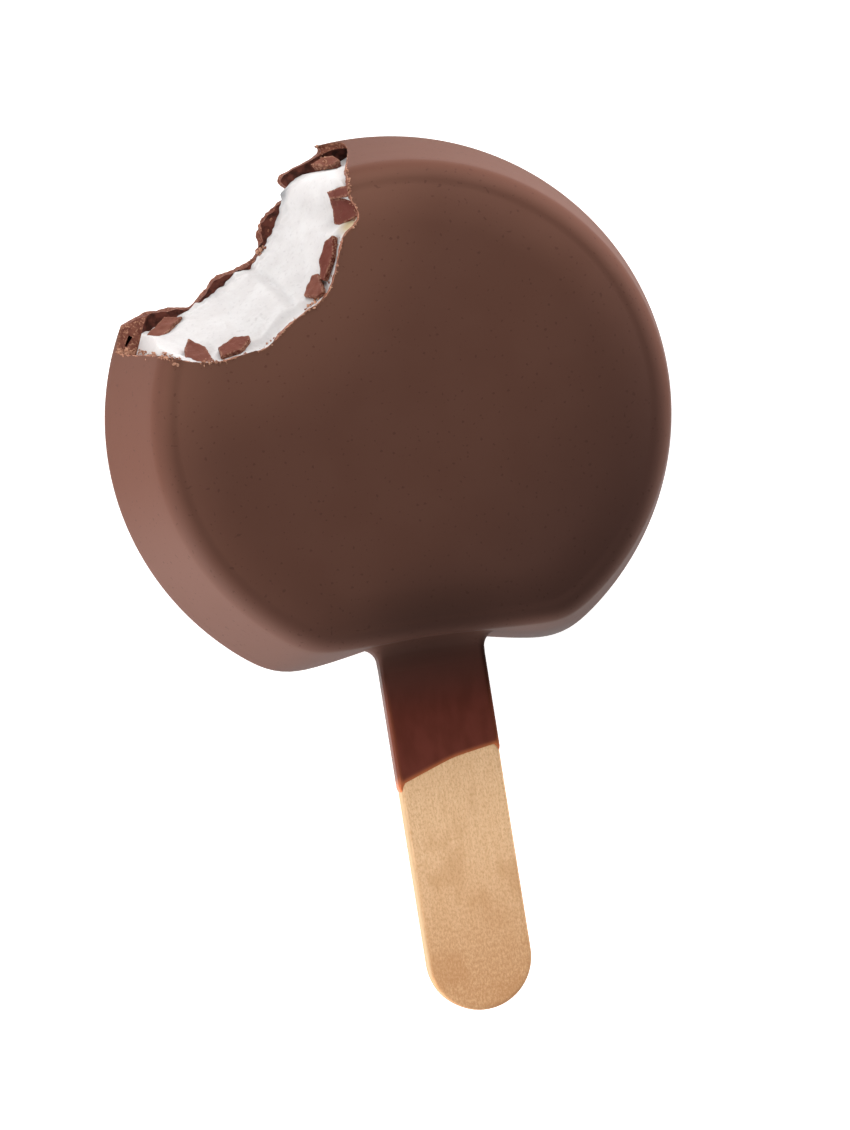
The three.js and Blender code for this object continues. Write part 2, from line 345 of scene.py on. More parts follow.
def disc_colour(finish):
    """The disc: wall and face, with a few dark dots all over."""
    clouds = finish.mask(finish.noise(9 * MM, detail=2), 0.35, 0.65)
    # Painted sheen: the wall is painted paler and greyer towards -Y, as a reflection.
    up = finish.mask(finish.axis("Y"), -16 * MM, 0)
    wall = finish.mix(up, srgb(102, 73, 64), srgb(94, 61, 50))
    face = finish.mix(clouds, srgb(98, 66, 55), srgb(100, 68, 57))
    # Painted shade far from the bite's middle, then a painted highlight close round it.
    face = finish.mix(finish.near(PAINTED_LIGHT_CENTRE, 82 * MM, full=48 * MM), srgb(79, 55, 49), face)
    face = finish.mix(finish.near(PAINTED_LIGHT_CENTRE, 37 * MM, full=25 * MM), face, srgb(112, 77, 64))
    on_face = finish.mask(finish.axis("Z"), 18 * MM, 19.4 * MM)
    body = finish.mix(on_face, wall, face)
    # Painted shade where the face turns down to the foot.
    body = finish.mix(finish.near(FOOT_SHADE_SPOT, 15 * MM, full=3 * MM), body, srgb(76, 52, 45))
    dots = finish.mask(finish.noise(0.5 * MM, detail=0), 0.2, 0.27, start=0.35, end=0)
    return finish.mix(dots, body, srgb(66, 42, 36))


def film_colour(finish):
    """The film on the stick: streaky, darkest beside the foot, where its sides carry painted shade,
    and orange where it runs out.
    """
    down = finish.mask(finish.axis("Y"), -39 * MM, -31 * MM, start=1, end=0)
    streaks = finish.noise(1.6 * MM, detail=3, place=finish.stretched((1, 0.4, 1)))
    thin = finish.mix(finish.mask(streaks, 0.3, 0.7), srgb(99, 50, 40), srgb(110, 56, 46))
    film = finish.mix(down, srgb(94, 60, 52), thin)
    # Painted shade: the stick's narrow sides are painted dark near the foot; further down they are
    # redder where the film is thin.
    side = finish.mix(down, srgb(64, 38, 32), srgb(106, 56, 41))
    film = finish.mix(finish.attribute("stick_side"), film, side)
    return finish.mix(finish.attribute("film_end"), film, srgb(206, 118, 74))


def smooth_chocolate():
    """The outside of the shell and the film, as the dip left them."""
    finish = Finish("smooth_chocolate", roughness=MATT, specular=0.035)
    on_stick = finish.mask(finish.axis("Y"), FILM_TOP, FOOT_BOTTOM, start=1, end=0)
    finish.colour(finish.mix(on_stick, disc_colour(finish), film_colour(finish)))
    finish.rough(finish.mask(finish.axis("Y"), FILM_TOP, FOOT_BOTTOM, start=GLOSSY, end=MATT))
    finish.bump(
        (finish.noise(0.35 * MM, detail=2), 0.004 * MM),
        (finish.noise(4 * MM, detail=1), 0.03 * MM),
    )
    return finish.material


def shaded_inner_chocolate():
    """The inside of the shell, where the ice cream came away: redder and uneven, and darker as
    painted shade of the hollow.
    """
    finish = Finish("shaded_inner_chocolate", roughness=0.5, specular=0.1)
    clouds = finish.mask(finish.noise(0.9 * MM, detail=4), 0.35, 0.65)
    # Painted shade: dark browns, as the inside lies in shade.
    finish.colour(finish.mix(clouds, srgb(54, 29, 23), srgb(92, 50, 41)))
    finish.bump((finish.noise(0.6 * MM, detail=4), 0.12 * MM))
    return finish.material


def broken_chocolate():
    """A fresh break: reddish brown inside, with pale sugary grains along its sharp edges."""
    finish = Finish("broken_chocolate", roughness=0.6, specular=0.1)
    clouds = finish.mask(finish.noise(0.8 * MM, detail=4), 0.35, 0.65)
    body = finish.mix(clouds, srgb(104, 58, 45), srgb(146, 94, 75))
    low = finish.mask(finish.axis("Z"), 2.5 * MM, 4.5 * MM, start=0.65, end=0)
    body = finish.mix(low, body, srgb(84, 42, 33))
    grains = finish.mask(finish.noise(0.25 * MM, detail=4, rough=0.6), 0.36, 0.56)
    pale = finish.math("MULTIPLY", finish.attribute("near_break"), grains)
    pale = finish.math("MULTIPLY", pale, finish.math("SUBTRACT", 1, low))
    specks = finish.mask(finish.noise(0.3 * MM, detail=3), 0.52, 0.7, end=0.6)
    body = finish.mix(specks, body, srgb(184, 136, 108))
    finish.colour(finish.mix(pale, body, srgb(186, 138, 110)))
    finish.bump((finish.noise(0.3 * MM, detail=4), 0.1 * MM))
    return finish.material


CHOCOLATE = smooth_chocolate()
INNER_CHOCOLATE = shaded_inner_chocolate()
BROKEN_CHOCOLATE = broken_chocolate()
print("chocolate finishes:", [m.name for m in (CHOCOLATE, INNER_CHOCOLATE, BROKEN_CHOCOLATE)])

# %% [markdown]
# The bar's outline is an oval, cut off at the bottom by a foot that is drawn in around the stick.
# A spin or a bevelled cylinder would give a plain round disc, so we pull up a round disc and
# then press each of its rings onto the outline, as the mould does. The foot is drawn in deeper
# at the back than at the front, so the outline depends on the height as well as on the angle.

# %% The moulded form
DISC_RADIUS = 33.15 * MM
DISC_TALLNESS = 0.966
THICKNESS = 20 * MM
EDGE_RADIUS = 2.4 * MM
WALL_SPREAD = 4.75 * MM  # all round, the back reaches out this much further than the front
FACE_CROWN = 0.82 * MM  # the face rises by this much
CROWN_WIDTH = 6 * MM  # over this width along its rim, and is flat inside that
FOOT_DISTANCE = 28.3 * MM
FOOT_HOLLOW_BACK = 4.3 * MM
FOOT_HOLLOW_FRONT = 0.2 * MM
FOOT_HOLLOW_SPREAD = 30  # degrees
FOOT_ANGLE = 268.3  # degrees, the way it faces
FOOT_CORNER = 50  # a larger number makes a sharper corner between foot and oval
COATING = 1.4 * MM  # how thick the chocolate is


def outline_radius(angle, height):
    """How far the outline is from the disc's centre, in a direction given in degrees."""
    cosine, sine = math.cos(math.radians(angle)), math.sin(math.radians(angle))
    oval = DISC_RADIUS / math.hypot(cosine, sine / DISC_TALLNESS)
    from_foot = (angle - FOOT_ANGLE + 180) % 360 - 180
    facing = max(math.cos(math.radians(from_foot)), 0)
    hollow = lerp(FOOT_HOLLOW_BACK, FOOT_HOLLOW_FRONT, height / THICKNESS)
    foot = FOOT_DISTANCE - hollow * math.exp(-((from_foot / FOOT_HOLLOW_SPREAD) ** 2))
    return oval * (1 + (facing * oval / foot) ** FOOT_CORNER) ** (-1 / FOOT_CORNER)


def outline_at(angle, height):
    """The outline's point in that direction."""
    radius = outline_radius(angle, height)
    return Vector((math.cos(math.radians(angle)), math.sin(math.radians(angle)))) * radius


def outline_point(angle, outset, height):
    """A point of the outline, moved outwards square to it."""
    nearby = 0.5
    along = outline_at(angle + nearby, height) - outline_at(angle - nearby, height)
    along.normalize()
    point = outline_at(angle, height) + Vector((along.y, -along.x)) * outset
    return Vector((point.x, point.y, height))


def disc_rings(shrink, edge_steps, crown_steps):
    """Radii and heights of a round disc with rounded edges and a crowned front."""
    edge = EDGE_RADIUS - shrink / 2
    wall = DISC_RADIUS - shrink
    flat = wall - edge
    roof = THICKNESS - shrink
    rings = [(flat * share, shrink) for share in (0.3, 0.6, 0.85, 0.95, 0.98)]
    for turn in steps(-90, 0, edge_steps):
        sine, cosine = math.sin(math.radians(turn)), math.cos(math.radians(turn))
        rings.append((flat + edge * cosine, shrink + edge * (1 + sine)))
    top = roof - FACE_CROWN - edge
    rings += [(wall, height) for height in steps(shrink + edge, top, edge_steps)[1:-1]]
    for turn in steps(0, 90, edge_steps):
        sine, cosine = math.sin(math.radians(turn)), math.cos(math.radians(turn))
        rings.append((flat + edge * cosine, top + edge * sine))
    for way in steps(0, 1, crown_steps)[1:]:
        radius = flat * (1 - CROWN_WIDTH * way / DISC_RADIUS)
        rings.append((radius, roof - FACE_CROWN * (1 - way) ** 2))
    rings += [(radius * share, roof) for share in (0.97, 0.9, 0.6, 0.3)]
    return rings


UNEVEN_WALL = ((155.2, 8, 1.3), (94, 8, -0.6))  # angle and spread in degrees, mm thicker
UNEVEN_LOW, UNEVEN_HIGH = 6 * MM, 14 * MM


def extra_thickness(angle, height):
    """How uneven the shell's wall is low down: thick at the left corner, thin at the top."""
    extra = 0
    for at, spread, thicker in UNEVEN_WALL:
        aside = (angle - at + 180) % 360 - 180
        extra += thicker * MM * math.exp(-((aside / spread) ** 2))
    return extra * (1 - smoothstep(UNEVEN_LOW, UNEVEN_HIGH, height))


def moulded_disc(name, material, shrink, columns, edge_steps, crown_steps):
    """The whole form, smaller by shrink all round, pressed onto the outline."""
    body = stacked_rings(name, columns, disc_rings(shrink, edge_steps, crown_steps))
    flat = DISC_RADIUS - shrink - (EDGE_RADIUS - shrink / 2)

    def press(at):
        angle = math.degrees(math.atan2(at.y, at.x))
        radius = math.hypot(at.x, at.y)
        spread = WALL_SPREAD * (1 - at.z / THICKNESS)
        if shrink:
            spread -= extra_thickness(angle, at.z)
        if radius >= flat:
            return outline_point(angle, radius - DISC_RADIUS + spread, at.z)
        rim = outline_point(angle, flat - DISC_RADIUS + spread, at.z)
        return Vector((rim.x * radius / flat, rim.y * radius / flat, at.z))

    shape(body, press)
    face_out(body)
    body.data.materials.append(material)
    return body


coating = moulded_disc(
    "coating", CHOCOLATE, shrink=0, columns=360, edge_steps=10, crown_steps=14
)
print("coating before the bite:", len(coating.data.polygons), "faces")

# %% [markdown]
# The stick is stamped from thin birch: a long strip with round ends and softly broken edges. We
# pull up a thin round tablet and then move its two halves apart, so that both ends stay half
# circles and the sides between them are straight.

# %% The stick's shape
STICK_LENGTH = 94 * MM
STICK_WIDTH = 13.6 * MM
STICK_THICKNESS = 2.6 * MM
STICK_TIP = -77.2 * MM
STICK_ASIDE = -1.26 * MM
STICK_EDGE = 0.4 * MM
STICK_COLUMNS, STICK_EDGE_STEPS = 72, 4
STICK_SIDE = STICK_WIDTH / 2 - STICK_EDGE  # from its middle line to where its side begins
STICK_MIDDLE_Y = STICK_TIP + STICK_LENGTH / 2
STICK_LOW = (THICKNESS - STICK_THICKNESS) / 2


def stick_body(name, grow=0.0):
    """The stick, larger by grow on every side, for itself and for the slot it sits in."""
    radius = STICK_WIDTH / 2 + grow
    low, high = STICK_LOW - grow, STICK_LOW + STICK_THICKNESS + grow
    rings = [(radius * 0.5, low), (radius * 0.9, low)]
    for turn in steps(-90, 0, STICK_EDGE_STEPS):
        sine, cosine = math.sin(math.radians(turn)), math.cos(math.radians(turn))
        rings.append((radius - STICK_EDGE * (1 - cosine), low + STICK_EDGE * (1 + sine)))
    for turn in steps(0, 90, STICK_EDGE_STEPS):
        sine, cosine = math.sin(math.radians(turn)), math.cos(math.radians(turn))
        rings.append((radius - STICK_EDGE * (1 - cosine), high - STICK_EDGE * (1 - sine)))
    rings += [(radius * 0.9, high), (radius * 0.5, high)]
    body = stacked_rings(name, STICK_COLUMNS, rings)
    half_gap = (STICK_LENGTH - STICK_WIDTH) / 2

    def stretch(at):
        away = half_gap if at.y > 0 else -half_gap
        return Vector((at.x + STICK_ASIDE, at.y + away + STICK_MIDDLE_Y, at.z))

    shape(body, stretch)
    return body


stick = stick_body("wooden_stick")
print("stick:", len(stick.data.polygons), "faces")

# %% [markdown]
# Chocolate ran down the stick and set as a film. It leaves the foot in a small fillet and thins
# out along a slanting line. A solidified copy of the stick would have no fillet and a blunt end,
# so the film is a body of its own: a stack of plain rings, each of which is then wrapped round
# the stick's section, at its place along the stick and as far off the wood as the film is thick.

# %% The film on the stick
FILM = 0.16 * MM
FILM_TAPER = 0.8 * MM  # it runs out to nothing over this length
FILM_SUNK = 0.03 * MM  # its last ring is this far inside the wood, so that no step shows
FILLET = 2.3 * MM
FILM_POINTS = 120
FILM_KINK = Vector((-0.6 * MM, -44.55 * MM))
KINK_ROUNDING = 1 * MM
FILM_SLOPES = (0.328, 0.135)  # left and right of the kink
SIDE_DROP = 0.9 * MM  # the film ends lower on the stick's sides
FILLET_RINGS = 8
FILM_RINGS = 36
CROWDING = 1.5  # above 1, the rings lie closer together towards the film's end
FOOT_ROUNDS = 6


def film_end(x):
    """Where the film stops, as y for each x across the stick."""
    left_slope, right_slope = FILM_SLOPES
    middle, bend = (left_slope + right_slope) / 2, (left_slope - right_slope) / 2
    aside = x - FILM_KINK.x
    return FILM_KINK.y + middle * aside - bend * math.hypot(aside, KINK_ROUNDING)


def beside(x):
    """0 on the stick's broad faces, and 1 where its narrow sides are outermost."""
    return smoothstep(STICK_SIDE, STICK_WIDTH / 2, abs(x - STICK_ASIDE))


def section_point(share, grow):
    """A point of the stick's section, a share of the way round, moved out by grow."""
    corner = STICK_EDGE + grow
    half_height = STICK_THICKNESS / 2 - STICK_EDGE
    arc = math.pi / 2 * corner
    quarter_length = half_height + arc + STICK_SIDE
    quarter, rest = divmod(share * 4, 1)
    along = rest * quarter_length if quarter % 2 == 0 else (1 - rest) * quarter_length
    if along < half_height:
        x, z = STICK_SIDE + corner, along
    elif along < half_height + arc:
        turn = (along - half_height) / corner
        x = STICK_SIDE + corner * math.cos(turn)
        z = half_height + corner * math.sin(turn)
    else:
        x, z = STICK_SIDE - (along - half_height - arc), half_height + corner
    side_x = 1 if quarter in (0, 3) else -1
    side_z = 1 if quarter in (0, 1) else -1
    return STICK_ASIDE + side_x * x, THICKNESS / 2 + side_z * z


def foot_y(x, z):
    """Where the foot's wall is, behind the point (x, z): a guess, made better in a few rounds."""
    y = -FOOT_DISTANCE
    for _ in range(FOOT_ROUNDS):
        angle = 270 + math.degrees(math.atan2(x, -y))
        y = outline_point(angle, WALL_SPREAD * (1 - z / THICKNESS), z).y
    return y


def film_body():
    """The film as a solid round the stick, from inside the foot to its slanting end."""
    ring_count = 1 + FILLET_RINGS + FILM_RINGS
    body = stacked_rings("film", FILM_POINTS, [(MM, ring * MM) for ring in range(ring_count + 1)])

    def wrap(at):
        share = math.atan2(at.y, at.x) / math.tau % 1
        ring = round(at.z / MM)
        if ring <= FILLET_RINGS:
            turn = math.radians(90 * max(ring - 1, 0) / FILLET_RINGS)
            x, z = section_point(share, FILM + FILLET * (1 - math.sin(turn)))
            inside = MM if ring == 0 else 0
            return Vector((x, foot_y(x, z) + inside - FILLET * (1 - math.cos(turn)), z))
        way = (ring - FILLET_RINGS) / (ring_count - FILLET_RINGS)
        x, z = section_point(share, FILM)
        start = foot_y(x, z) - FILLET
        end = film_end(x) - SIDE_DROP * beside(x)
        to_end = (start - end) * (1 - way) ** CROWDING
        thin_out = (FILM + FILM_SUNK) * (1 - smoothstep(0, FILM_TAPER, to_end))
        x, z = section_point(share, FILM - thin_out)
        return Vector((x, end + to_end, z))

    shape(body, wrap)
    face_out(body)
    body.data.materials.append(CHOCOLATE)
    return body


film = film_body()
boolean(coating, film, "UNION")
discard(film)
print("coating with its film:", len(coating.data.polygons), "faces")

# %% [markdown]
# Now the bite. Teeth leave a scoop whose wall is a wavy ring about one axis, wider at the front
# of the bar than at the back. A plain cylinder as cutter would leave a smooth wall, so we pull
# up a finely divided one and push its wall in and out before it cuts. The radius is a base value
# with a few bell-shaped marks, the same that the solids have, and noise on top of it.

# %% The bite
BITE_X, BITE_Y = -27 * MM, 33.8 * MM
# Each line of the bite is a radius in mm, and its marks: at this angle, this wide, this deep.
BITE_FRONT = (23.4, ((-18, 4.5, 1.5), (-42, 9, 1.2), (-67, 5, 0.7), (-103, 14, -1.9)))
BITE_BACK = (15.1, ((4, 8, 9.4), (-18, 25, 2.1), (-101, 18, 2.7)))
BITE_FROM, BITE_TO = -118, 10  # degrees, where the scoop meets the bar
BITE_COLUMNS = 400
BITE_SHARE = 0.85  # of the columns are in that range
BITE_RISE = 0.22 * MM  # height of one row of the scoop
OVERCUT = 1.5 * MM


def with_marks(angle, marks):
    """The radius of one line at an angle, in metres, with its bell-shaped marks."""
    base, bells = marks
    return MM * (base + sum(d * math.exp(-(((angle - at) / s) ** 2)) for at, s, d in bells))


def bell(distance, width):
    """1 at no distance, falling off to 0 beyond the width."""
    return math.exp(-((distance / width) ** 2))


def ripple(point, size, seed):
    """Smooth noise between about -1 and 1, with waves as long as size."""
    return noise.noise(point / size + Vector((seed, 0, 0)))


def scoop(name, radius_at, material):
    """The space a bite leaves, with its wall at radius_at(angle, height)."""
    rows = steps(-OVERCUT, THICKNESS + OVERCUT, round((THICKNESS + 2 * OVERCUT) / BITE_RISE))
    plain_radius = 20 * MM  # carve_wall then gives each vertex its own
    body = stacked_rings(name, BITE_COLUMNS, [(plain_radius, height) for height in rows])

    def carve_wall(at):
        share = math.atan2(at.y, at.x) / math.tau % 1
        if share < BITE_SHARE:
            angle = lerp(BITE_FROM, BITE_TO, share / BITE_SHARE)
            radius = radius_at(angle, at.z)
        else:
            way = (share - BITE_SHARE) / (1 - BITE_SHARE)
            angle = lerp(BITE_TO, BITE_FROM + 360, way)
            radius = lerp(radius_at(BITE_TO, at.z), radius_at(BITE_FROM, at.z), way)
        return bite_point(angle, radius, at.z)

    shape(body, carve_wall)
    face_out(body)
    body.data.materials.append(material)
    return body


def bite_point(angle, radius, height):
    """A point by its angle and distance round the bite's own axis."""
    turn = math.radians(angle)
    return Vector((BITE_X + radius * math.cos(turn), BITE_Y + radius * math.sin(turn), height))


def bite_radius(angle, height):
    """The bitten ice cream, before its fine unevenness."""
    front, back_radius = with_marks(angle, BITE_FRONT), with_marks(angle, BITE_BACK)
    return lerp(back_radius, front, height / THICKNESS)


ends = [round(bite_radius(angle, THICKNESS) / MM, 1) for angle in (BITE_FROM, BITE_TO)]
print("the bite's radius at its two ends, on the face, in mm:", ends)

# %% [markdown]
# The shell breaks rather than cuts. It broke in two steps: at the back a low ledge stands out
# beyond the ice cream, and above it the wall and the front face broke along another line. So the
# scoop that cuts the shell has its own radius, which changes from one line to the other within
# two millimetres of height. Noise in two sizes and a cell pattern add the flat little chips of a
# real break, deepest along one stretch of the ledge. The face broke upright, so close to it the
# radius stays the same. A thin slit in the ledge at the left is where the chocolate cracked.

# %% The broken shell
COATING_BACK = (
    15.4,
    ((4, 5, 7.6), (-10, 9, 2.4), (-39, 9, 1.2), (-60, 8, -1), (-78, 5, 0.6), (-111, 9, 1.9)),
)
COATING_WALL = (21.4, ((2, 9, 6),))  # as it would be at the back face
LEDGE_LOW, LEDGE_HIGH = 1.5 * MM, 3.5 * MM
LEDGE_CHIPPED = (0, ((-9.8, 2.4, 1.5),))  # where a piece of the ledge is missing
RAGGED_ANGLE, RAGGED_SPREAD = -28, 26  # where the ledge is most ragged
BREAK_DEPTHS = (
    # mm deep: on the ledge, where it is most ragged, and on the wall above it
    (0.12, 0.42, 0.14),  # jags
    (0.08, 0.24, 0.09),  # nicks
    (0.14, 0.34, 0.16),  # facets
)
JAG_SIZE, NICK_SIZE, FACET_SIZE = 1.3 * MM, 0.5 * MM, 1.1 * MM
LIP_SLOPE = 0.35 * MM  # the ledge's own edge slopes by this much
FRONT_LOW, FRONT_HIGH = 16.6 * MM, 18.4 * MM  # the front face broke upright above this
SLIT_FROM, SLIT_TO = Vector((-32.0, 15.6)) * MM, Vector((-32.9, 14.4)) * MM
SLIT_WIDTH, SLIT_BOTTOM, SLIT_TOP = 0.55 * MM, 1.3 * MM, 6 * MM
SLIT_NARROWS = 0.5  # to this share of its width at its far end
SLOT_PLAY = 0.02 * MM  # between the stick and what it sits in


def shell_radius(angle, height):
    """The broken edge of the shell."""
    low_lip = LIP_SLOPE * smoothstep(0, COATING, height)
    ledge = with_marks(angle, COATING_BACK) + with_marks(angle, LEDGE_CHIPPED) + low_lip
    front = with_marks(angle, BITE_FRONT)
    wall = lerp(with_marks(angle, COATING_WALL), front, height / THICKNESS)
    wall = lerp(wall, front, smoothstep(FRONT_LOW, FRONT_HIGH, height))
    way = smoothstep(LEDGE_LOW, LEDGE_HIGH, height)
    radius = lerp(ledge, wall, way)
    point = bite_point(angle, radius, height)
    ragged = bell(angle - RAGGED_ANGLE, RAGGED_SPREAD)
    jag, nick, facet = (
        lerp(lerp(on_ledge, at_most, ragged), on_wall, way)
        for on_ledge, at_most, on_wall in BREAK_DEPTHS
    )
    broken = jag * ripple(point, JAG_SIZE, 3) + nick * ripple(point, NICK_SIZE, 7)
    broken += facet * (noise.voronoi(point / FACET_SIZE)[0][0] - 0.5)
    return radius + broken * MM


def slit():
    """A thin upright wedge that cuts a crack."""
    middle, run = (SLIT_FROM + SLIT_TO) / 2, SLIT_TO - SLIT_FROM
    deselect()
    bpy.ops.mesh.primitive_cube_add(size=1)
    wedge = bpy.context.object
    wedge.name = wedge.data.name = "slit"
    along, aside = run.normalized(), Vector((run.y, -run.x)).normalized()

    def place(at):
        end = 1 if at.y > 0 else -1
        width = SLIT_WIDTH * (SLIT_NARROWS if end > 0 else 1)
        spot = middle + along * (end * run.length / 2) + aside * at.x * width
        return Vector((spot.x, spot.y, SLIT_TOP if at.z > 0 else SLIT_BOTTOM))

    shape(wedge, place)
    face_out(wedge)
    wedge.data.materials.append(INNER_CHOCOLATE)
    return wedge


def stick_slot(material):
    """The room that the stick takes up in what is frozen round it."""
    slot = stick_body("slot", grow=SLOT_PLAY)
    slot.data.materials.append(material)
    return slot


def cut_away(piece, *tools):
    """Cuts one tool after another out of a piece."""
    for tool in tools:
        boolean(piece, tool, "DIFFERENCE")
    discard(*tools)


def cut_coating():
    """Hollows the shell and breaks its edge."""
    hollow = moulded_disc(
        "hollow", INNER_CHOCOLATE, shrink=COATING, columns=200, edge_steps=6, crown_steps=4
    )
    shell_scoop = scoop("shell_scoop", shell_radius, BROKEN_CHOCOLATE)
    cut_away(coating, hollow, stick_slot(INNER_CHOCOLATE), shell_scoop, slit())


cut_coating()
smooth(coating, 32)
print("coating after the bite:", len(coating.data.polygons), "faces")

# %% [markdown]
# A break looks pale where it is thinnest, along its sharp edges. The film has another colour on
# the stick's narrow sides, painted shade near the foot, and turns orange where it runs out. All
# three depend on a distance that a material can't know, so we measure it here and store it with
# each vertex as an attribute, which the finishes read by its name.

# %% Distances stored for the finishes
EDGE_REACH = 0.45 * MM
FILM_END_REACH, SIDE_END_REACH = 0.95 * MM, 2.6 * MM  # on the faces and on the sides
SIDE_BLEND = 0.3 * MM  # before and after the line where the stick's side begins


def store(piece, name, values):
    """Keeps one number for each vertex, under a name that a material can read."""
    attribute = piece.data.attributes.new(name, "FLOAT", "POINT")
    attribute.data.foreach_set("value", values)


def vertices_of(piece, material):
    """Which vertices belong to faces with a material."""
    slots = [m.name for m in piece.data.materials]
    wanted = {i for i, name in enumerate(slots) if name == material.name}
    found = set()
    for face in piece.data.polygons:
        if face.material_index in wanted:
            found.update(face.vertices)
    return found


def near_break(piece):
    """1 on the line where smooth and broken chocolate meet, 0 away from it."""
    line = vertices_of(piece, CHOCOLATE) & vertices_of(piece, BROKEN_CHOCOLATE)
    tree = kdtree.KDTree(len(line))
    for index in line:
        tree.insert(piece.data.vertices[index].co, index)
    tree.balance()
    return [1 - smoothstep(0, EDGE_REACH, tree.find(v.co)[2]) for v in piece.data.vertices]


def near_film_end(at):
    """1 where the film on the stick runs out, 0 further up."""
    to_end = at.y - film_end(at.x) + SIDE_DROP * beside(at.x)
    return 1 - smoothstep(0, lerp(FILM_END_REACH, SIDE_END_REACH, beside(at.x)), to_end)


def on_stick_side(at):
    """1 on the narrow sides of the stick, 0 on its broad faces."""
    aside = abs(at.x - STICK_ASIDE)
    return smoothstep(STICK_SIDE - SIDE_BLEND, STICK_SIDE + SIDE_BLEND, aside)


store(coating, "near_break", near_break(coating))
store(coating, "film_end", [near_film_end(v.co) for v in coating.data.vertices])
store(coating, "stick_side", [on_stick_side(v.co) for v in coating.data.vertices])
print("attributes:", [a.name for a in coating.data.attributes if a.data_type == "FLOAT"])

# %% [markdown]
# Flat pieces of chocolate lie in the ice cream. Their places come before the ice cream's own
# surface, because it sinks in a little round each of them.

# %% Where the chocolate pieces lie
CHIPS = {
    # name: angle on the scoop, height, lean, tone, corners (along and across the wall), in mm
    "top": (
        0, 4, 1.0, 0.9,
        ((-0.4, 2), (0.4, 0.4), (0.5, -1), (-0.3, -1.8), (-1, -1.1), (-1, 0.3)),
    ),
    "upper_small": (
        -11, 16.5, 0.3, 0.2, ((0.2, 1.6), (1.1, -2.6), (-0.2, -2.8), (-0.6, -1), (-0.7, 1.1)),
    ),
    "upper_large": (
        -17, 16, 0.3, 0.05,
        ((1.8, 1.9), (1.9, -3.2), (1.2, -3.9), (-0.3, -3), (-1.7, 0), (-1.5, 1), (-0.1, 1.2)),
    ),
    "leaf": (
        -32, 17, 0.3, 0.15,
        ((2.8, -0.3), (2.6, -0.8), (0.2, -1.5), (-3, -1.4), (-2.9, -0.5), (-0.6, 0.7), (1.8, 0.7)),
    ),
    "deep": (
        -42, 16.5, 0.3, 0.7, ((1.6, 0.2), (-0.2, -2.5), (-1.2, -2.1), (-1.9, 0.3), (1.1, 1.1)),
    ),
    "long": (
        -74, 16.5, 0.4, 0.5,
        ((-2.4, 0.2), (0.1, 1.1), (2, 0.2), (1.9, -0.5), (-0.1, -1.8), (-2.8, -1.6)),
    ),
    "wedge": (
        -87, 15.5, 0.4, 0.6,
        ((-0.5, 2.6), (1, 0.3), (1.5, -2.3), (1.1, -2.9), (-1.1, -2.5), (-2.1, -1.6), (-1.4, 1)),
    ),
    "back": (
        -92, 2.5, 0.4, 0.9,
        ((-3.1, -2.0), (-2.2, -0.9), (0.5, 1.7), (2.8, 0.6), (1.6, -0.4), (-0.2, -2.1), (-1.2, -2.6)),
    ),
}
DENT_DEPTH, DENT_WIDTH = 0.5 * MM, 2.4 * MM
CHIP_PLACES = [
    bite_point(angle, bite_radius(angle, height * MM), height * MM)
    for angle, height, *rest in CHIPS.values()
]
print("chocolate pieces to lay:", ", ".join(CHIPS))

# %% [markdown]
# The ice cream fills the shell. Its bitten surface is soft: long shallow waves, fine drag marks
# from the teeth that run from front to back, and one crease where a piece folded before it came
# off. Close to the face it levels out, and it ends on the same line as the chocolate. At the back
# its edge is ragged, and at the top it came away from the shell and left a dark gap. A bump in
# the material would show none of this from the side, so all of it is in the radius of the ice
# cream's own scoop.

# %% The ice cream's shape
# Each unevenness is a depth, the length of its waves and a seed.
WAVES = 0.34 * MM, 5 * MM, 11
DRAG_MARKS = 0.10 * MM, 1.3 * MM, 13
DRAG_LENGTH = 4  # times as long from front to back as they are wide
GRIT = 0.035 * MM, 0.5 * MM, 17
LOW_EDGE_JAGS = 0.3 * MM, 0.8 * MM, 23
GAP_WOBBLE = 1.2, 1.5 * MM, 29  # its depth is in degrees
CREASE_ANGLE = -46
CREASE_DRIFT = -8  # degrees further at the front than at the back
CREASE_DEPTH, CREASE_WIDTH = 0.52 * MM, 0.6 * MM
FOLD_STEP, FOLD_WIDTH, FOLD_REACH = 0.3 * MM, 0.8 * MM, 4 * MM  # the low step across it
GAP_FROM, GAP_TO, GAP_DEPTH = -3.6, -2, 3 * MM  # the two angles are in degrees
LEVEL_EDGE = 15.5 * MM, 18.5 * MM  # its relief runs out between these heights
LOW_EDGE = (0, ((-1, 4, -0.45), (-10, 4, -0.15), (-94, 5, -0.5)))  # it reaches out at the back
LOW_EDGE_FROM, LOW_EDGE_TO = 2 * MM, 5 * MM


def uneven(point, depth, size, seed):
    """How far the surface is in or out at a point, up to about depth."""
    return depth * ripple(point, size, seed)


def crease_relief(angle, radius, height):
    """A groove that drifts sideways, with a low step from one side of it to the other."""
    way = height / THICKNESS
    aside = math.radians(angle - CREASE_ANGLE - CREASE_DRIFT * way * way) * radius
    crease = CREASE_DEPTH * bell(aside, CREASE_WIDTH)
    return crease + FOLD_STEP * math.tanh(aside / FOLD_WIDTH) * math.exp(-abs(aside) / FOLD_REACH)


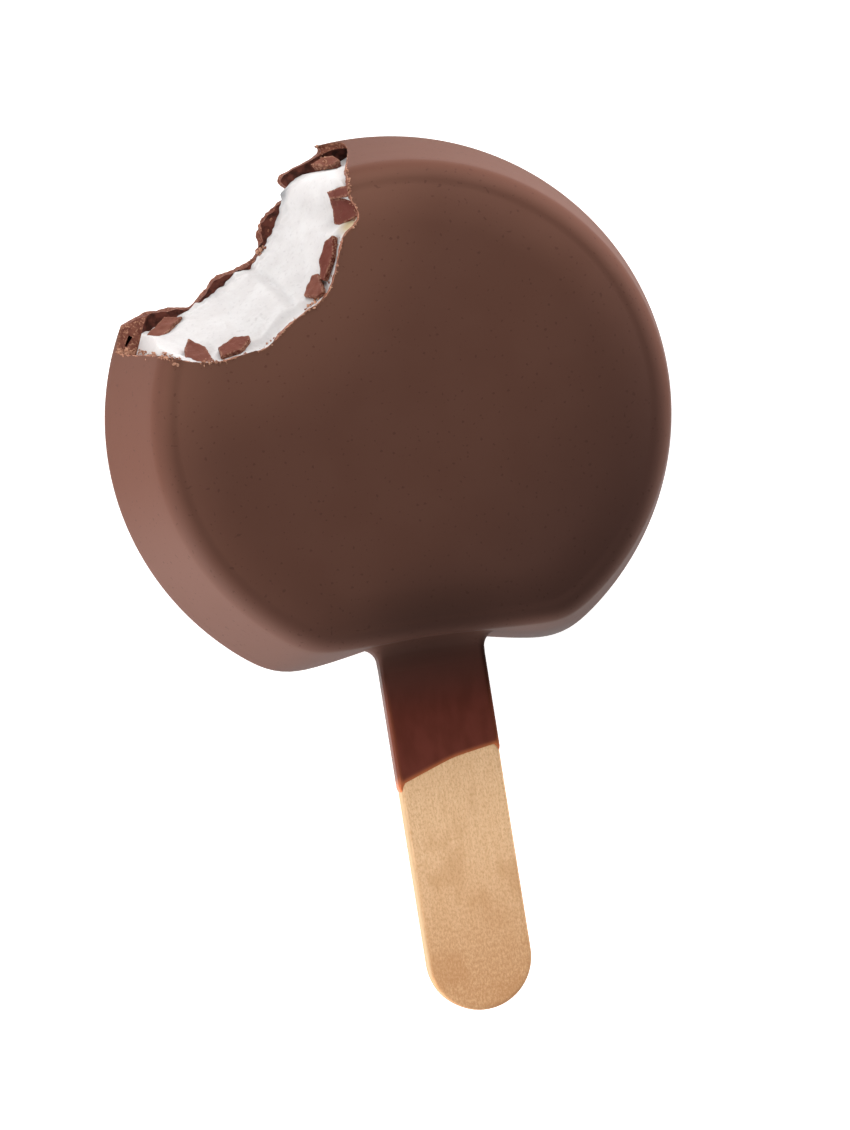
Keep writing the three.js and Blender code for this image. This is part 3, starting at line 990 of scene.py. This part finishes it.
def ice_cream_radius(angle, height):
    """The bitten surface of the ice cream."""
    at_front = smoothstep(FRONT_LOW, FRONT_HIGH, height)
    radius = lerp(bite_radius(angle, height), with_marks(angle, BITE_FRONT), at_front)
    point = bite_point(angle, radius, height)
    waves = uneven(point, *WAVES)
    drag = uneven(Vector((point.x, point.y, point.z / DRAG_LENGTH)), *DRAG_MARKS)
    dents = DENT_DEPTH * max(bell((point - chip).length, DENT_WIDTH) for chip in CHIP_PLACES)
    relief = waves + drag + crease_relief(angle, radius, height) + dents
    relief *= 1 - smoothstep(*LEVEL_EDGE, height)
    gap = GAP_DEPTH * smoothstep(GAP_FROM, GAP_TO, angle + uneven(point, *GAP_WOBBLE))
    ragged = with_marks(angle, LOW_EDGE) + uneven(point, *LOW_EDGE_JAGS)
    ragged *= 1 - smoothstep(LOW_EDGE_FROM, LOW_EDGE_TO, height)
    return radius + relief + uneven(point, *GRIT) + gap + ragged


at_crease = [ice_cream_radius(CREASE_ANGLE, height) / MM for height in (THICKNESS, 0)]
print("the scoop's radius in mm, at the face and at the back:", [round(r, 1) for r in at_crease])

# %% [markdown]
# Ice cream is frozen foam, so light goes in and comes out a little way off. That is subsurface
# scattering, and without it the ice cream would look like plaster. Faint clouds, small pores and
# a low bump stand for its crystals. It has two spots of another colour: a yellowish one, close
# under the face, and a glassy grey one on the ledge, where the ice is clear.

# %% The ice cream's finish
CREAM_SPOT = bite_point(-20.6, 24.2 * MM, 17.8 * MM)
CLEAR_SPOT = bite_point(-10, 17.6 * MM, 1.8 * MM)
SPOT_REACH = 2.2 * MM


def ice_cream_material():
    finish = Finish("frozen_ice_cream", roughness=0.7, specular=0.25)
    clouds = finish.mask(finish.noise(3 * MM, detail=4), 0.35, 0.65)
    base = finish.mix(clouds, srgb(190, 186, 185), srgb(195, 192, 191))
    pores = finish.mask(finish.noise(0.5 * MM, detail=3), 0.3, 0.42, start=0.5, end=0)
    base = finish.mix(pores, base, srgb(174, 169, 170))
    cream = finish.near(CREAM_SPOT, SPOT_REACH, full=0.3 * MM)
    base = finish.mix(cream, base, srgb(180, 162, 130))
    clear = finish.near(CLEAR_SPOT, SPOT_REACH)
    finish.colour(finish.mix(clear, base, srgb(120, 122, 124)))
    finish.bump(
        (finish.noise(0.7 * MM, detail=4), 0.06 * MM),
        (finish.noise(3 * MM, detail=3), 0.15 * MM),
    )
    finish.shader.inputs["Subsurface Weight"].default_value = 0.35
    finish.shader.inputs["Subsurface Radius"].default_value = (1, 0.9, 0.85)
    finish.shader.inputs["Subsurface Scale"].default_value = 1 * MM
    return finish.material


ICE_CREAM = ice_cream_material()
print("ice cream finish:", ICE_CREAM.name)

# %% [markdown]
# The body is the same moulded disc as the coating's hollow, so the two fit. Its scoop and the
# stick's slot are cut out of it with the same tools as before.

# %% The ice cream
ice_cream = moulded_disc(
    "ice_cream_filling", ICE_CREAM, shrink=COATING, columns=160, edge_steps=5, crown_steps=4
)
ice_cream_scoop = scoop("ice_cream_scoop", ice_cream_radius, ICE_CREAM)
cut_away(ice_cream, ice_cream_scoop, stick_slot(ICE_CREAM))
smooth(ice_cream, 50)
print("ice cream:", len(ice_cream.data.polygons), "faces")

# %% [markdown]
# The pieces were bitten through, each with its own outline. We draw a filled ring with as many
# corners as the piece has, put the corners in place, pull it into a slab and break its edges with
# a small bevel. The slab is then laid on the bitten wall, leaning a little towards the front. Its
# rim is stored as an attribute, because it is paler than the middle, and so is its own tone.

# %% Chocolate pieces
CHIP_THICKNESS = 1.6 * MM
CHIP_PROUD = 0.5 * MM
CHIP_BREAK = 0.12 * MM
CHIP_RIM = 0.35 * MM
CHIP_HALVINGS = 4  # each one cuts every edge in two
CHIP_UNEVEN = ((0.35, 0.05), (0.9, 0.10), (2, 0.14))  # length and depth of its waves, in mm
NOISE_SEED = 12
noise.seed_set(NOISE_SEED)  # without it, noise_vector gives another pattern in each run


def wall_frame(angle, height, lean):
    """The turn that lays a flat piece on the bitten wall: along it, across it, and out of it."""
    def wall(a, h):
        return bite_point(a, bite_radius(a, h), h)

    around = wall(angle + 1, height) - wall(angle - 1, height)
    rise = wall(angle, height + MM) - wall(angle, height - MM)
    out = around.cross(rise).normalized()
    if out.dot(Vector((BITE_X, BITE_Y, height)) - wall(angle, height)) < 0:
        out.negate()
    out = (out + Vector((0, 0, lean))).normalized()
    turn = math.radians(angle)
    along = Vector((-math.sin(turn), math.cos(turn), 0))
    along = (along - out * along.dot(out)).normalized()
    across = out.cross(along)
    turned = Matrix((along, across, out)).transposed().to_4x4()
    return Matrix.Translation(wall(angle, height)) @ turned


def distance_to_outline(at, corners):
    """How far inside its outline a point of a slab is."""
    spot = Vector((at.x, at.y))
    nearest = math.inf
    for start, end in zip(corners, corners[1:] + corners[:1]):
        a, b = Vector(start) * MM, Vector(end) * MM
        share = min(max((spot - a).dot(b - a) / (b - a).length_squared, 0), 1)
        nearest = min(nearest, (spot - a.lerp(b, share)).length)
    return nearest


def chocolate_chip(name, angle, height, lean, tone, corners):
    """One slab with the given corners, its edges broken, set into the wall."""
    deselect()
    bpy.ops.mesh.primitive_circle_add(vertices=len(corners), radius=MM, fill_type="NGON")
    chip = bpy.context.object
    chip.name = chip.data.name = "chip_" + name
    for vertex, (along, across) in zip(chip.data.vertices, corners):
        vertex.co = (along * MM, across * MM, CHIP_PROUD)
    bpy.ops.object.mode_set(mode="EDIT")
    bpy.ops.mesh.select_all(action="SELECT")
    bpy.ops.mesh.extrude_region_move(
        TRANSFORM_OT_translate={"value": (0, 0, -CHIP_THICKNESS)}
    )
    recalculate_normals()
    bpy.ops.mesh.bevel(offset=CHIP_BREAK, segments=1, affect="EDGES")
    bpy.ops.mesh.quads_convert_to_tris()
    bpy.ops.mesh.select_all(action="SELECT")
    for _ in range(CHIP_HALVINGS):
        bpy.ops.mesh.subdivide(number_cuts=1)
    bpy.ops.object.mode_set(mode="OBJECT")
    inside = [distance_to_outline(vertex.co, corners) for vertex in chip.data.vertices]
    store(chip, "rim", [1 - smoothstep(0, CHIP_RIM, distance) for distance in inside])
    store(chip, "tone", [tone] * len(chip.data.vertices))
    seed = len(name) + angle

    def chip_away(at):
        point = at + Vector((seed, 0, 0)) * MM
        offset = Vector()
        for size, depth in CHIP_UNEVEN:
            offset += noise.noise_vector(point / (size * MM)) * depth * MM
        return at + offset

    shape(chip, chip_away)
    chip.data.transform(wall_frame(angle, height * MM, lean))
    return chip


def join(name, pieces):
    """Makes one piece of several."""
    deselect()
    for piece in pieces:
        piece.select_set(True)
    bpy.context.view_layer.objects.active = pieces[0]
    bpy.ops.object.join()
    pieces[0].name = pieces[0].data.name = name
    return pieces[0]


chips = join("chocolate_pieces", [chocolate_chip(name, *facts) for name, facts in CHIPS.items()])
print("chocolate pieces:", len(chips.data.polygons), "faces")

# %% [markdown]
# Each piece was bitten through, and bitten chocolate is paler than poured chocolate: dry, with a
# light grainy rim and scuffs. No two pieces are the same brown. One material does for all of
# them, because it reads each piece's own tone and rim from the attributes.

# %% The pieces' finish


def chip_material():
    """The pieces' bitten faces: matt milk chocolate with a pale, grainy rim."""
    finish = Finish("chip_chocolate", roughness=0.6, specular=0.1)
    body = finish.mix(finish.attribute("tone"), srgb(94, 42, 33), srgb(120, 75, 62))
    clouds = finish.mask(finish.noise(1.2 * MM, detail=4), 0.35, 0.65, end=0.4)
    body = finish.mix(clouds, body, srgb(92, 48, 37))
    grains = finish.mask(finish.noise(0.3 * MM, detail=4), 0.42, 0.58)
    rim = finish.math("MULTIPLY", finish.attribute("rim"), grains)
    body = finish.mix(rim, body, srgb(150, 108, 88))
    scuffs = finish.mask(finish.noise(0.25 * MM, detail=3), 0.66, 0.74, start=0, end=0.5)
    finish.colour(finish.mix(scuffs, body, srgb(130, 92, 74)))
    finish.bump(
        (finish.noise(0.25 * MM, detail=4), 0.04 * MM),
        (finish.noise(0.9 * MM, detail=3), 0.10 * MM),
    )
    return finish.material


chips.data.materials.append(chip_material())
smooth(chips, 35)
print("finish of the pieces:", chips.data.materials[0].name)

# %% [markdown]
# Small crumbs of chocolate stick to the edge of the break. They lie thick at the left corner
# and thinner along the face's edge, so we give the runs along which they lie, and how many lie
# on each. Only the larger ones, which catch the eye, are placed one by one.

# %% Where the crumbs lie
CRUMB_SEED = 12
CRUMB_SIZES = (0.09 * MM, 0.26 * MM)
CRUMB_RUNS = (
    # count, from and to (angle, height), how far they stray from the edge in mm
    (150, (-100, 20), (6, 20), 0.10),
    (26, (3, 20), (-12, 20), 0.08),
    (40, (-104, 19), (-94, 20), 0.25),
    (26, (-88, 20), (-80, 20), 0.2),
)
CORNER_RUNS = (
    # count, from and to (x, y) in mm, how far they stray, where the low left corner broke
    (80, (-34.3, 13.8), (-31.2, 13.5), 0.17),
    (26, (-31.2, 13.4), (-30.6, 12.7), 0.12),
    (14, (-30.9, 12.8), (-29.4, 12.2), 0.2),
)
FLAKES_AT = (
    # x, y, size in mm, tone: single larger crumbs
    (-30.9, 12.8, 0.35, 0.5),
    (-29.6, 11.4, 0.34, 0.6),
    (-29.2, 11.2, 0.24, 0.9),
    (-25.6, 11.0, 0.32, 0.5),
    (-10.75, 29.2, 0.45, 0.5),
    (-10.6, 29.6, 0.30, 0.7),
    (-10.4, 30.1, 0.24, 0.2),
    (-10.0, 30.5, 0.20, 0.6),
    (-11.3, 27.6, 0.26, 0.2),
    (-11.9, 26.2, 0.24, 0.1),
    (-12.7, 24.1, 0.28, 0.1),
    (-14.7, 22.9, 0.30, 0.7),
    (-14.4, 23.2, 0.34, 0.9),
    (-14.4, 22.8, 0.26, 0.3),
    (-14.0, 23.5, 0.36, 0.8),
    (-13.6, 23.7, 0.34, 0.95),
    (-13.5, 23.3, 0.30, 0.5),
    (-13.3, 23.9, 0.36, 0.85),
    (-12.9, 24.2, 0.28, 0.6),
    (-11.2, 15.9, 0.32, 1.0),
    (-10.7, 16.1, 0.26, 0.7),
    (-10.3, 16.2, 0.34, 1.0),
    (-9.8, 16.7, 0.26, 0.9),
    (-10.9, 15.6, 0.24, 1.0),
    (-10.2, 16.6, 0.30, 0.8),
    (-11.6, 15.5, 0.22, 0.9),
)
scattered = sum(run[0] for run in CRUMB_RUNS + CORNER_RUNS)
print("crumbs to scatter:", scattered, "and to place one by one:", len(FLAKES_AT))

# %% [markdown]
# There are hundreds of crumbs, so three flakes are modelled once, with 80 faces each, and every
# crumb is a copy of one of them, turned, scaled and laid on the surface by a ray that falls from
# above. A particle system would do it too, but a part that others use needs plain meshes. The
# random draws are seeded, as the noise is, so each run gives the same crumbs.

# %% Crumbs
FLAKE_SHAPE = (1, 0.75, 0.5)  # longest, middle and shortest half
FLAKE_KNOCKS = 0.45  # how far it is knocked out of shape, of its longest half
CRUMB_TILT = 0.9  # radians, at most
CRUMB_SMALLER = 0.5, 1  # a second draw makes most crumbs smaller
CORNER_CRUMB_SIZES = 0.6, 1.3  # times the sizes of the other crumbs


def flake(number):
    """A crumb of chocolate: a ball of 80 faces, flattened and knocked out of shape."""
    deselect()
    bpy.ops.mesh.primitive_ico_sphere_add(subdivisions=2, radius=1)
    body = bpy.context.object
    body.name = body.data.name = f"flake_{number}"
    bpy.ops.object.mode_set(mode="EDIT")
    bpy.ops.mesh.select_all(action="SELECT")
    bpy.ops.transform.resize(value=FLAKE_SHAPE)
    bpy.ops.object.mode_set(mode="OBJECT")

    def knock(at):
        return at + noise.noise_vector(at * 1.3 + Vector((number * 5, 0, 0))) * FLAKE_KNOCKS

    shape(body, knock)
    return body


def lie_on_surface(x, y):
    """The highest point of the bar at (x, y)."""
    hits = [
        piece.ray_cast(Vector((x, y, 2 * THICKNESS)), Vector((0, 0, -1)))
        for piece in (coating, ice_cream, chips)
    ]
    heights = [place.z for found, place, *rest in hits if found]
    return Vector((x, y, max(heights))) if heights else None


def crumb(flakes, draw, spot, size, tone):
    """A copy of one of the flakes, with its own mesh."""
    body = draw.choice(flakes).copy()
    body.data = body.data.copy()
    bpy.context.scene.collection.objects.link(body)
    turn = Matrix.Rotation(draw.uniform(0, math.tau), 4, "Z")
    tilt = Matrix.Rotation(draw.uniform(-CRUMB_TILT, CRUMB_TILT), 4, "X")
    size_up = Matrix.Diagonal((size, size, size, 1))
    body.data.transform(Matrix.Translation(spot) @ (turn @ tilt) @ size_up)
    store(body, "tone", [tone] * len(body.data.vertices))
    return body


def scatter_crumbs():
    """All crumbs as one piece: along the edge, at the corner, and the larger ones one by one."""
    draw = random.Random(CRUMB_SEED)
    flakes = [flake(number) for number in range(3)]
    pieces = []
    for count, (from_angle, from_height), (to_angle, to_height), stray in CRUMB_RUNS:
        for _ in range(count):
            way = draw.random()
            angle, height = lerp(from_angle, to_angle, way), lerp(from_height, to_height, way) * MM
            radius = shell_radius(angle, height) + draw.gauss(0, stray) * MM
            spot = lie_on_surface(*bite_point(angle, radius, 0).xy)
            size = draw.uniform(*CRUMB_SIZES) * draw.uniform(*CRUMB_SMALLER)
            if spot:
                pieces.append(crumb(flakes, draw, spot, size, draw.random()))
    for count, start, end, stray in CORNER_RUNS:
        for _ in range(count):
            at = Vector(start).lerp(Vector(end), draw.random())
            at += Vector((draw.gauss(0, stray), draw.gauss(0, stray)))
            spot = lie_on_surface(at.x * MM, at.y * MM)
            size = draw.uniform(*CRUMB_SIZES) * draw.uniform(*CORNER_CRUMB_SIZES)
            if spot:
                pieces.append(crumb(flakes, draw, spot, size, draw.uniform(0.3, 1)))
    for x, y, size, tone in FLAKES_AT:
        spot = lie_on_surface(x * MM, y * MM)
        if spot:
            pieces.append(crumb(flakes, draw, spot, size * MM, tone))
    discard(*flakes)
    print("crumbs that landed on the bar:", len(pieces))
    return join("chocolate_crumbs", pieces)


crumbs = scatter_crumbs()
print("crumbs:", len(crumbs.data.polygons), "faces")

# %% [markdown]
# A crumb is broken on all sides, so it is dry and lighter than the shell it came from, and no two
# are alike. Each has a random tone, stored like the tone of the pieces.

# %% The crumbs' finish


def crumb_material():
    """Bare, dry crumbs: from milk chocolate to a pale tan."""
    finish = Finish("crumb_chocolate", roughness=0.7, specular=0.15)
    colour = finish.mix(finish.attribute("tone"), srgb(110, 60, 44), srgb(196, 150, 124))
    grains = finish.mask(finish.noise(0.12 * MM, detail=2), 0.3, 0.7, end=0.4)
    finish.colour(finish.mix(grains, colour, srgb(140, 92, 70)))
    return finish.material


crumbs.data.materials.append(crumb_material())
smooth(crumbs, 40)
print("finish of the crumbs:", crumbs.data.materials[0].name)

# %% [markdown]
# The stick is plain birch, and its grain runs along it. A wave texture would draw even stripes,
# so we stretch four noises along Y instead: hard for the fibres, and less for the short dark
# pores, the pale glints between them and the broad patches. The wood is darker towards the tip,
# most of all in the pores, and its left side is painted greyer and darker, as painted shade.

# %% Wood
# Painted shade on the stick's left side begins at this x.
SHADED_SIDE = STICK_ASIDE - STICK_WIDTH / 2 + 0.1 * MM  # x where the left side begins
STICK_DARKENS = -77 * MM, -50 * MM  # the y where it is darkest, and where that begins


def birch():
    """Birch: warm and pale, with fine grain, and painted shade on its left side."""
    finish = Finish("birch", roughness=0.72, specular=0.25)
    fibres = finish.noise(0.3 * MM, detail=4, place=finish.stretched((1, 0.05, 1)), rough=0.65)
    base = finish.mix(
        finish.mask(fibres, 0.25, 0.75), srgb(236, 192, 146), srgb(246, 205, 161)
    )
    pores = finish.noise(0.24 * MM, detail=2, place=finish.stretched((1, 0.55, 1)), rough=0.7)
    base = finish.mix(finish.mask(pores, 0.42, 0.68, end=0.6), base, srgb(208, 157, 108))
    glints = finish.noise(0.2 * MM, detail=2, place=finish.stretched((1, 0.4, 1)))
    base = finish.mix(finish.mask(glints, 0.56, 0.72, end=0.55), base, srgb(250, 214, 172))
    patches = finish.noise(5 * MM, detail=2, place=finish.stretched((1, 0.6, 1)))
    base = finish.mix(finish.mask(patches, 0.5, 0.64, end=0.35), base, srgb(198, 144, 94))
    to_tip = finish.mask(finish.axis("Y"), *STICK_DARKENS, start=0.75, end=0)
    darker = finish.math("MULTIPLY", to_tip, finish.mask(pores, 0.2, 0.6, start=0.5))
    base = finish.mix(darker, base, srgb(186, 132, 86))
    # Painted shade: the left side is painted greyer and darker.
    left = finish.mask(finish.axis("X"), SHADED_SIDE, SHADED_SIDE + 0.25 * MM, start=0.9, end=0)
    finish.colour(finish.mix(left, base, srgb(184, 152, 116)))
    finish.bump((fibres, 0.03 * MM), (pores, 0.02 * MM))
    return finish.material


stick.data.materials.append(birch())
smooth(stick, 35)
print("finish of the stick:", stick.data.materials[0].name)

# %% [markdown]
# The bar lies on a plain white floor that glows a little, as on a light table, so that no shadow
# is left around it. The sky is black: all other light comes from the lamps of the next step. The
# floor is only a stage: it isn't part of the bar.

# %% Floor and sky
FLOOR_SIZE = 6  # metres, far past the picture's edge
FLOOR_GREY = 0.75
FLOOR_GLOW = 0.88

deselect()
bpy.ops.mesh.primitive_plane_add(size=FLOOR_SIZE, location=(0, 0, 0))
floor = bpy.context.object
floor.name = "floor"
paper = Finish("white_paper", roughness=0.9, specular=0.1)
paper.colour((FLOOR_GREY, FLOOR_GREY, FLOOR_GREY, 1))
paper.shader.inputs["Emission Color"].default_value = (1, 1, 1, 1)
paper.shader.inputs["Emission Strength"].default_value = FLOOR_GLOW
floor.data.materials.append(paper.material)

world = bpy.data.worlds.new("studio")
world.use_nodes = True
world.node_tree.nodes["Background"].inputs["Strength"].default_value = 0
bpy.context.scene.world = world
print("stage:", floor.name)

# %% [markdown]
# Soft light comes from sheets, which are area lamps. One large sheet stands far off at the upper
# right. Small ones stand close round the bar: those that are hardly above the floor light the
# wall and barely touch the face, and the two higher ones give the face its slow change of tone.
# The last one stands just past the tip of the stick and lights the wood. The camera doesn't see
# any of them.

# %% Light
BAR_MIDDLE = Vector((0, 0, 0.01))
STICK_MIDDLE = Vector((0, -0.066, 0.01))
SHEETS = (
    # name, direction in degrees, distance from the middle, height, width, tallness, strength
    ("far_right", 45, 0.978, 0.208, 0.60, 0.30, 0.53),
    ("low_left", 180, 0.14, 0.04, 0.16, 0.06, 0.96),
    ("low_corner", 225, 0.14, 0.04, 0.16, 0.06, 0.50),
    ("high_right", 45, 0.13, 0.09, 0.12, 0.08, 0.15),
    ("high_top", 90, 0.13, 0.09, 0.12, 0.08, 0.70),
    ("low_right", 20, 0.14, 0.03, 0.16, 0.05, 0.72),
)
STICK_SHEET = ("over_stick", 270, 0.085, 0.06, 0.06, 0.06, 0.52)


def soft_sheet(aim, name, direction, distance, height, width, tallness, strength):
    """A sheet of light turned to its aim; strength 1 lights white paper there to white."""
    turn = math.radians(direction)
    place = Vector((distance * math.cos(turn), distance * math.sin(turn), height))
    data = bpy.data.lights.new(name, "AREA")
    data.shape = "RECTANGLE"
    data.size, data.size_y = width, tallness
    data.energy = strength * (math.pi * (place - aim).length) ** 2
    light = bpy.data.objects.new(name, data)
    light.location = place
    light.rotation_mode = "QUATERNION"
    light.rotation_quaternion = (aim - place).to_track_quat("-Z", "Y")
    light.visible_camera = False
    bpy.context.scene.collection.objects.link(light)


for sheet in SHEETS:
    soft_sheet(BAR_MIDDLE, *sheet)
soft_sheet(STICK_MIDDLE, *STICK_SHEET)
print("sheets of light:", len(SHEETS) + 1)

scene = bpy.context.scene
scene.view_settings.view_transform = "Standard"
scene.view_settings.look = "None"

# %% [markdown]
# Last, each piece rides on the bar's one body, and the solid that it stands for is hidden. The
# crumbs stand for no solid, and the chocolate pieces are part of the ice cream's.

# %% Finish
PIECES = (
    (coating, "chocolate_coating", "chocolate"),
    (ice_cream, "ice_cream", "ice_cream"),
    (stick, "stick", "wood"),
    (chips, None, "chocolate"),
    (crumbs, None, "chocolate"),
)
for piece, node, slot_name in PIECES:
    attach(piece, "root")
    if node:
        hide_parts(node)
    print(piece.name, len(piece.data.polygons), "faces")
